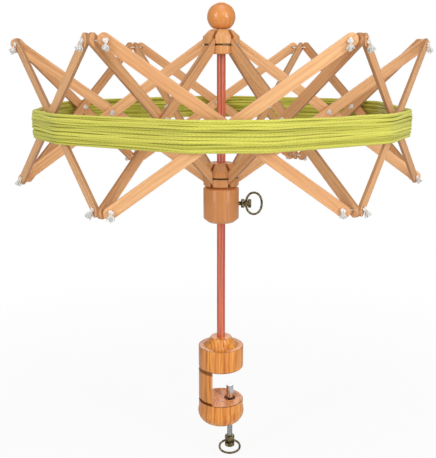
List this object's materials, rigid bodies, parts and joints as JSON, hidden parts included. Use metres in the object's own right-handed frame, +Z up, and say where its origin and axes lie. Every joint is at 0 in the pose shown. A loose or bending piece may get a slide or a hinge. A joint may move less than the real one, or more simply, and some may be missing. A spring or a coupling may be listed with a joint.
{
  "type": "umbrella swift",
  "caption": "Folding wooden lattice umbrella on a post with a sliding locked collar and a screw table clamp, which holds a skein of yarn while it is wound off.",
  "frame": {"origin": "on the post's axis, on the underside of the clamp's upper jaw, which rests on the table top", "axes": "+Z up along the post, +X the way that the jaw opens"},
  "size_m": [0.5628, 0.5076, 0.6635],
  "materials": {
    "clamp_wood": "satin varnish",
    "steel": "bright",
    "antique_brass": "darkened brass",
    "shaft_wood": "gloss red stain",
    "ball_wood": "satin varnish",
    "hub_wood": "satin varnish",
    "collar_wood": "satin varnish",
    "slat_wood": "satin varnish",
    "cotton_string": "twisted cotton",
    "yarn": "wool yarn"
  },
  "bodies": {
    "post": {"clamp_block": "clamp_wood", "clamp_nut": "steel", "shaft": "shaft_wood", "finial": "ball_wood", "hub_stop_ring": "steel"},
    "upper_hub": {"upper_hub": "hub_wood", "upper_hub_wire": "steel", "yarn_skein": "yarn"},
    "lower_hub": {"lower_hub": "hub_wood", "lower_hub_wire": "steel"},
    "collar": {"collar": "collar_wood", "collar_nut": "steel"},
    "collar_screw": {"collar_screw": "antique_brass"},
    "collar_ring": {"collar_ring": "antique_brass"},
    "clamp_pad": {"clamp_pad": "steel"},
    "clamp_screw": {"clamp_screw": "steel", "clamp_knob": "antique_brass"},
    "clamp_ring": {"clamp_ring": "antique_brass"},
    "arm_down_1": {"arm_slat_down_1": "slat_wood"},
    "arm_up_1": {"arm_slat_up_1": "slat_wood"},
    "upper_corner_1": {"upper_corner_tie_1": "cotton_string"},
    "lower_corner_1": {"lower_corner_tie_1": "cotton_string"},
    "panel_down_1": {"panel_slat_down_1": "slat_wood"},
    "panel_up_1": {"panel_slat_up_1": "slat_wood"},
    "waist_1": {"waist_tie_1": "cotton_string"},
    "arm_down_2": {"arm_slat_down_2": "slat_wood"},
    "arm_up_2": {"arm_slat_up_2": "slat_wood"},
    "upper_corner_2": {"upper_corner_tie_2": "cotton_string"},
    "lower_corner_2": {"lower_corner_tie_2": "cotton_string"},
    "panel_down_2": {"panel_slat_down_2": "slat_wood"},
    "panel_up_2": {"panel_slat_up_2": "slat_wood"},
    "waist_2": {"waist_tie_2": "cotton_string"},
    "arm_down_3": {"arm_slat_down_3": "slat_wood"},
    "arm_up_3": {"arm_slat_up_3": "slat_wood"},
    "upper_corner_3": {"upper_corner_tie_3": "cotton_string"},
    "lower_corner_3": {"lower_corner_tie_3": "cotton_string"},
    "panel_down_3": {"panel_slat_down_3": "slat_wood"},
    "panel_up_3": {"panel_slat_up_3": "slat_wood"},
    "waist_3": {"waist_tie_3": "cotton_string"},
    "arm_down_4": {"arm_slat_down_4": "slat_wood"},
    "arm_up_4": {"arm_slat_up_4": "slat_wood"},
    "upper_corner_4": {"upper_corner_tie_4": "cotton_string"},
    "lower_corner_4": {"lower_corner_tie_4": "cotton_string"},
    "panel_down_4": {"panel_slat_down_4": "slat_wood"},
    "panel_up_4": {"panel_slat_up_4": "slat_wood"},
    "waist_4": {"waist_tie_4": "cotton_string"},
    "arm_down_5": {"arm_slat_down_5": "slat_wood"},
    "arm_up_5": {"arm_slat_up_5": "slat_wood"},
    "upper_corner_5": {"upper_corner_tie_5": "cotton_string"},
    "lower_corner_5": {"lower_corner_tie_5": "cotton_string"},
    "panel_down_5": {"panel_slat_down_5": "slat_wood"},
    "panel_up_5": {"panel_slat_up_5": "slat_wood"},
    "waist_5": {"waist_tie_5": "cotton_string"},
    "arm_down_6": {"arm_slat_down_6": "slat_wood"},
    "arm_up_6": {"arm_slat_up_6": "slat_wood"},
    "upper_corner_6": {"upper_corner_tie_6": "cotton_string"},
    "lower_corner_6": {"lower_corner_tie_6": "cotton_string"},
    "panel_down_6": {"panel_slat_down_6": "slat_wood"},
    "panel_up_6": {"panel_slat_up_6": "slat_wood"},
    "waist_6": {"waist_tie_6": "cotton_string"}
  },
  "joints": [
    {"name": "umbrella_spin", "type": "hinge", "parent": "post", "child": "upper_hub", "pos_m": [0, 0, 0.463], "axis": [0, 0, 1], "continuous": true},
    {"name": "fold", "type": "hinge", "parent": "upper_hub", "child": "arm_down_1", "pos_m": [0.02319, 0.00057, 0.463], "axis": [-0.0248, 0.9997, 0], "range_deg": [0, 47.15], "deforming": ["yarn_skein"]},
    {"name": "arm_cross_1_hinge", "type": "hinge", "parent": "arm_down_1", "child": "arm_up_1", "pos_m": [0.14797, 0.00367, 0.37364], "axis": [-0.0248, 0.9997, 0], "range_deg": [-94.3, 0]},
    {"name": "upper_corner_1_hinge", "type": "hinge", "parent": "arm_up_1", "child": "upper_corner_1", "pos_m": [0.27274, 0.00676, 0.463], "axis": [-0.0248, 0.9997, 0], "range_deg": [0, 47.15]},
    {"name": "lower_corner_1_hinge", "type": "hinge", "parent": "arm_down_1", "child": "lower_corner_1", "pos_m": [0.27274, 0.00676, 0.28429], "axis": [-0.0248, 0.9997, 0], "range_deg": [-47.15, 0]},
    {"name": "arm_down_2_hinge", "type": "hinge", "parent": "upper_hub", "child": "arm_down_2", "pos_m": [0.0111, 0.02037, 0.463], "axis": [-0.8782, 0.4784, 0], "range_deg": [0, 47.15]},
    {"name": "arm_cross_2_hinge", "type": "hinge", "parent": "arm_down_2", "child": "arm_up_2", "pos_m": [0.07081, 0.12998, 0.37364], "axis": [-0.8782, 0.4784, 0], "range_deg": [-94.3, 0]},
    {"name": "upper_corner_2_hinge", "type": "hinge", "parent": "arm_up_2", "child": "upper_corner_2", "pos_m": [0.13051, 0.23958, 0.463], "axis": [-0.8782, 0.4784, 0], "range_deg": [0, 47.15]},
    {"name": "lower_corner_2_hinge", "type": "hinge", "parent": "arm_down_2", "child": "lower_corner_2", "pos_m": [0.13051, 0.23958, 0.28429], "axis": [-0.8782, 0.4784, 0], "range_deg": [-47.15, 0]},
    {"name": "arm_down_3_hinge", "type": "hinge", "parent": "upper_hub", "child": "arm_down_3", "pos_m": [-0.01209, 0.0198, 0.463], "axis": [-0.8534, -0.5213, 0], "range_deg": [0, 47.15]},
    {"name": "arm_cross_3_hinge", "type": "hinge", "parent": "arm_down_3", "child": "arm_up_3", "pos_m": [-0.07716, 0.12631, 0.37364], "axis": [-0.8534, -0.5213, 0], "range_deg": [-94.3, 0]},
    {"name": "upper_corner_3_hinge", "type": "hinge", "parent": "arm_up_3", "child": "upper_corner_3", "pos_m": [-0.14222, 0.23282, 0.463], "axis": [-0.8534, -0.5213, 0], "range_deg": [0, 47.15]},
    {"name": "lower_corner_3_hinge", "type": "hinge", "parent": "arm_down_3", "child": "lower_corner_3", "pos_m": [-0.14222, 0.23282, 0.28429], "axis": [-0.8534, -0.5213, 0], "range_deg": [-47.15, 0]},
    {"name": "arm_down_4_hinge", "type": "hinge", "parent": "upper_hub", "child": "arm_down_4", "pos_m": [-0.02319, -0.00057, 0.463], "axis": [0.0248, -0.9997, 0], "range_deg": [0, 47.15]},
    {"name": "arm_cross_4_hinge", "type": "hinge", "parent": "arm_down_4", "child": "arm_up_4", "pos_m": [-0.14797, -0.00367, 0.37364], "axis": [0.0248, -0.9997, 0], "range_deg": [-94.3, 0]},
    {"name": "upper_corner_4_hinge", "type": "hinge", "parent": "arm_up_4", "child": "upper_corner_4", "pos_m": [-0.27274, -0.00676, 0.463], "axis": [0.0248, -0.9997, 0], "range_deg": [0, 47.15]},
    {"name": "lower_corner_4_hinge", "type": "hinge", "parent": "arm_down_4", "child": "lower_corner_4", "pos_m": [-0.27274, -0.00676, 0.28429], "axis": [0.0248, -0.9997, 0], "range_deg": [-47.15, 0]},
    {"name": "arm_down_5_hinge", "type": "hinge", "parent": "upper_hub", "child": "arm_down_5", "pos_m": [-0.0111, -0.02037, 0.463], "axis": [0.8782, -0.4784, 0], "range_deg": [0, 47.15]},
    {"name": "arm_cross_5_hinge", "type": "hinge", "parent": "arm_down_5", "child": "arm_up_5", "pos_m": [-0.07081, -0.12998, 0.37364], "axis": [0.8782, -0.4784, 0], "range_deg": [-94.3, 0]},
    {"name": "upper_corner_5_hinge", "type": "hinge", "parent": "arm_up_5", "child": "upper_corner_5", "pos_m": [-0.13051, -0.23958, 0.463], "axis": [0.8782, -0.4784, 0], "range_deg": [0, 47.15]},
    {"name": "lower_corner_5_hinge", "type": "hinge", "parent": "arm_down_5", "child": "lower_corner_5", "pos_m": [-0.13051, -0.23958, 0.28429], "axis": [0.8782, -0.4784, 0], "range_deg": [-47.15, 0]},
    {"name": "arm_down_6_hinge", "type": "hinge", "parent": "upper_hub", "child": "arm_down_6", "pos_m": [0.01209, -0.0198, 0.463], "axis": [0.8534, 0.5213, 0], "range_deg": [0, 47.15]},
    {"name": "arm_cross_6_hinge", "type": "hinge", "parent": "arm_down_6", "child": "arm_up_6", "pos_m": [0.07716, -0.12631, 0.37364], "axis": [0.8534, 0.5213, 0], "range_deg": [-94.3, 0]},
    {"name": "upper_corner_6_hinge", "type": "hinge", "parent": "arm_up_6", "child": "upper_corner_6", "pos_m": [0.14222, -0.23282, 0.463], "axis": [0.8534, 0.5213, 0], "range_deg": [0, 47.15]},
    {"name": "lower_corner_6_hinge", "type": "hinge", "parent": "arm_down_6", "child": "lower_corner_6", "pos_m": [0.14222, -0.23282, 0.28429], "axis": [0.8534, 0.5213, 0], "range_deg": [-47.15, 0]},
    {"name": "panel_up_1_hinge", "type": "hinge", "parent": "lower_corner_1", "child": "panel_up_1", "pos_m": [0.27215, 0.02, 0.28429], "axis": [0.8534, 0.5213, 0], "range_deg": [0, 47.15]},
    {"name": "panel_down_1_hinge", "type": "hinge", "parent": "lower_corner_2", "child": "panel_down_1", "pos_m": [0.13869, 0.23098, 0.28429], "axis": [0.8534, 0.5213, 0], "range_deg": [-47.15, 0]},
    {"name": "waist_1_hinge", "type": "hinge", "parent": "panel_up_1", "child": "waist_1", "pos_m": [0.20542, 0.12549, 0.37364], "axis": [0.8534, 0.5213, 0], "range_deg": [-47.15, 0]},
    {"name": "panel_up_2_hinge", "type": "hinge", "parent": "lower_corner_2", "child": "panel_up_2", "pos_m": [0.11876, 0.24569, 0.28429], "axis": [-0.0248, 0.9997, 0], "range_deg": [0, 47.15]},
    {"name": "panel_down_2_hinge", "type": "hinge", "parent": "lower_corner_3", "child": "panel_down_2", "pos_m": [-0.13069, 0.2356, 0.28429], "axis": [-0.0248, 0.9997, 0], "range_deg": [-47.15, 0]},
    {"name": "waist_2_hinge", "type": "hinge", "parent": "panel_up_2", "child": "waist_2", "pos_m": [-0.00597, 0.24065, 0.37364], "axis": [-0.0248, 0.9997, 0], "range_deg": [-47.15, 0]},
    {"name": "panel_up_3_hinge", "type": "hinge", "parent": "lower_corner_3", "child": "panel_up_3", "pos_m": [-0.15339, 0.22569, 0.28429], "axis": [-0.8782, 0.4784, 0], "range_deg": [0, 47.15]},
    {"name": "panel_down_3_hinge", "type": "hinge", "parent": "lower_corner_4", "child": "panel_down_3", "pos_m": [-0.26938, 0.00462, 0.28429], "axis": [-0.8782, 0.4784, 0], "range_deg": [-47.15, 0]},
    {"name": "waist_3_hinge", "type": "hinge", "parent": "panel_up_3", "child": "waist_3", "pos_m": [-0.21139, 0.11516, 0.37364], "axis": [-0.8782, 0.4784, 0], "range_deg": [-47.15, 0]},
    {"name": "panel_up_4_hinge", "type": "hinge", "parent": "lower_corner_4", "child": "panel_up_4", "pos_m": [-0.27215, -0.02, 0.28429], "axis": [-0.8534, -0.5213, 0], "range_deg": [0, 47.15]},
    {"name": "panel_down_4_hinge", "type": "hinge", "parent": "lower_corner_5", "child": "panel_down_4", "pos_m": [-0.13869, -0.23098, 0.28429], "axis": [-0.8534, -0.5213, 0], "range_deg": [-47.15, 0]},
    {"name": "waist_4_hinge", "type": "hinge", "parent": "panel_up_4", "child": "waist_4", "pos_m": [-0.20542, -0.12549, 0.37364], "axis": [-0.8534, -0.5213, 0], "range_deg": [-47.15, 0]},
    {"name": "panel_up_5_hinge", "type": "hinge", "parent": "lower_corner_5", "child": "panel_up_5", "pos_m": [-0.11876, -0.24569, 0.28429], "axis": [0.0248, -0.9997, 0], "range_deg": [0, 47.15]},
    {"name": "panel_down_5_hinge", "type": "hinge", "parent": "lower_corner_6", "child": "panel_down_5", "pos_m": [0.13069, -0.2356, 0.28429], "axis": [0.0248, -0.9997, 0], "range_deg": [-47.15, 0]},
    {"name": "waist_5_hinge", "type": "hinge", "parent": "panel_up_5", "child": "waist_5", "pos_m": [0.00597, -0.24065, 0.37364], "axis": [0.0248, -0.9997, 0], "range_deg": [-47.15, 0]},
    {"name": "panel_up_6_hinge", "type": "hinge", "parent": "lower_corner_6", "child": "panel_up_6", "pos_m": [0.15339, -0.22569, 0.28429], "axis": [0.8782, -0.4784, 0], "range_deg": [0, 47.15]},
    {"name": "panel_down_6_hinge", "type": "hinge", "parent": "lower_corner_1", "child": "panel_down_6", "pos_m": [0.26938, -0.00462, 0.28429], "axis": [0.8782, -0.4784, 0], "range_deg": [-47.15, 0]},
    {"name": "waist_6_hinge", "type": "hinge", "parent": "panel_up_6", "child": "waist_6", "pos_m": [0.21139, -0.11516, 0.37364], "axis": [0.8782, -0.4784, 0], "range_deg": [-47.15, 0]},
    {"name": "lower_hub_hinge", "type": "hinge", "parent": "arm_up_1", "child": "lower_hub", "pos_m": [0.02319, 0.00057, 0.28429], "axis": [-0.0248, 0.9997, 0], "range_deg": [0, 47.15]},
    {"name": "collar_hold", "type": "hinge", "parent": "lower_hub", "child": "collar", "pos_m": [0, 0, 0.24599], "axis": [0, 0, 1], "continuous": true},
    {"name": "collar_screw_turn", "type": "hinge", "parent": "collar", "child": "collar_screw", "pos_m": [0.035, 0, 0.24599], "axis": [1, 0, 0], "range_deg": [0, 360]},
    {"name": "collar_ring_swing", "type": "hinge", "parent": "collar_screw", "child": "collar_ring", "pos_m": [0.035, 0, 0.24599], "axis": [0, 0, 1], "range_deg": [-80, 80]},
    {"name": "clamp_pad_slide", "type": "slide", "parent": "post", "child": "clamp_pad", "axis": [0, 0, 1], "range_m": [0, 0.024]},
    {"name": "clamp_screw_turn", "type": "hinge", "parent": "clamp_pad", "child": "clamp_screw", "pos_m": [0.0134, 0, -0.121], "axis": [0, 0, 1], "range_deg": [0, 6912.01]},
    {"name": "clamp_ring_swing", "type": "hinge", "parent": "clamp_screw", "child": "clamp_ring", "pos_m": [0.0134, 0, -0.121], "axis": [1, 0, 0], "range_deg": [-80, 80]}
  ],
  "couplings": [
    {"joint": "arm_cross_1_hinge", "follows": "fold", "ratio": -2},
    {"joint": "upper_corner_1_hinge", "follows": "fold", "ratio": 1},
    {"joint": "lower_corner_1_hinge", "follows": "fold", "ratio": -1},
    {"joint": "arm_down_2_hinge", "follows": "fold", "ratio": 1},
    {"joint": "arm_cross_2_hinge", "follows": "fold", "ratio": -2},
    {"joint": "upper_corner_2_hinge", "follows": "fold", "ratio": 1},
    {"joint": "lower_corner_2_hinge", "follows": "fold", "ratio": -1},
    {"joint": "arm_down_3_hinge", "follows": "fold", "ratio": 1},
    {"joint": "arm_cross_3_hinge", "follows": "fold", "ratio": -2},
    {"joint": "upper_corner_3_hinge", "follows": "fold", "ratio": 1},
    {"joint": "lower_corner_3_hinge", "follows": "fold", "ratio": -1},
    {"joint": "arm_down_4_hinge", "follows": "fold", "ratio": 1},
    {"joint": "arm_cross_4_hinge", "follows": "fold", "ratio": -2},
    {"joint": "upper_corner_4_hinge", "follows": "fold", "ratio": 1},
    {"joint": "lower_corner_4_hinge", "follows": "fold", "ratio": -1},
    {"joint": "arm_down_5_hinge", "follows": "fold", "ratio": 1},
    {"joint": "arm_cross_5_hinge", "follows": "fold", "ratio": -2},
    {"joint": "upper_corner_5_hinge", "follows": "fold", "ratio": 1},
    {"joint": "lower_corner_5_hinge", "follows": "fold", "ratio": -1},
    {"joint": "arm_down_6_hinge", "follows": "fold", "ratio": 1},
    {"joint": "arm_cross_6_hinge", "follows": "fold", "ratio": -2},
    {"joint": "upper_corner_6_hinge", "follows": "fold", "ratio": 1},
    {"joint": "lower_corner_6_hinge", "follows": "fold", "ratio": -1},
    {"joint": "panel_up_1_hinge", "follows": "fold", "ratio": 1},
    {"joint": "panel_down_1_hinge", "follows": "fold", "ratio": -1},
    {"joint": "waist_1_hinge", "follows": "fold", "ratio": -1},
    {"joint": "panel_up_2_hinge", "follows": "fold", "ratio": 1},
    {"joint": "panel_down_2_hinge", "follows": "fold", "ratio": -1},
    {"joint": "waist_2_hinge", "follows": "fold", "ratio": -1},
    {"joint": "panel_up_3_hinge", "follows": "fold", "ratio": 1},
    {"joint": "panel_down_3_hinge", "follows": "fold", "ratio": -1},
    {"joint": "waist_3_hinge", "follows": "fold", "ratio": -1},
    {"joint": "panel_up_4_hinge", "follows": "fold", "ratio": 1},
    {"joint": "panel_down_4_hinge", "follows": "fold", "ratio": -1},
    {"joint": "waist_4_hinge", "follows": "fold", "ratio": -1},
    {"joint": "panel_up_5_hinge", "follows": "fold", "ratio": 1},
    {"joint": "panel_down_5_hinge", "follows": "fold", "ratio": -1},
    {"joint": "waist_5_hinge", "follows": "fold", "ratio": -1},
    {"joint": "panel_up_6_hinge", "follows": "fold", "ratio": 1},
    {"joint": "panel_down_6_hinge", "follows": "fold", "ratio": -1},
    {"joint": "waist_6_hinge", "follows": "fold", "ratio": -1},
    {"joint": "lower_hub_hinge", "follows": "fold", "ratio": 1},
    {"joint": "collar_hold", "follows": "umbrella_spin", "ratio": -1},
    {"joint": "clamp_screw_turn", "follows": "clamp_pad_slide", "rad_per_m": 5026.5}
  ]
}
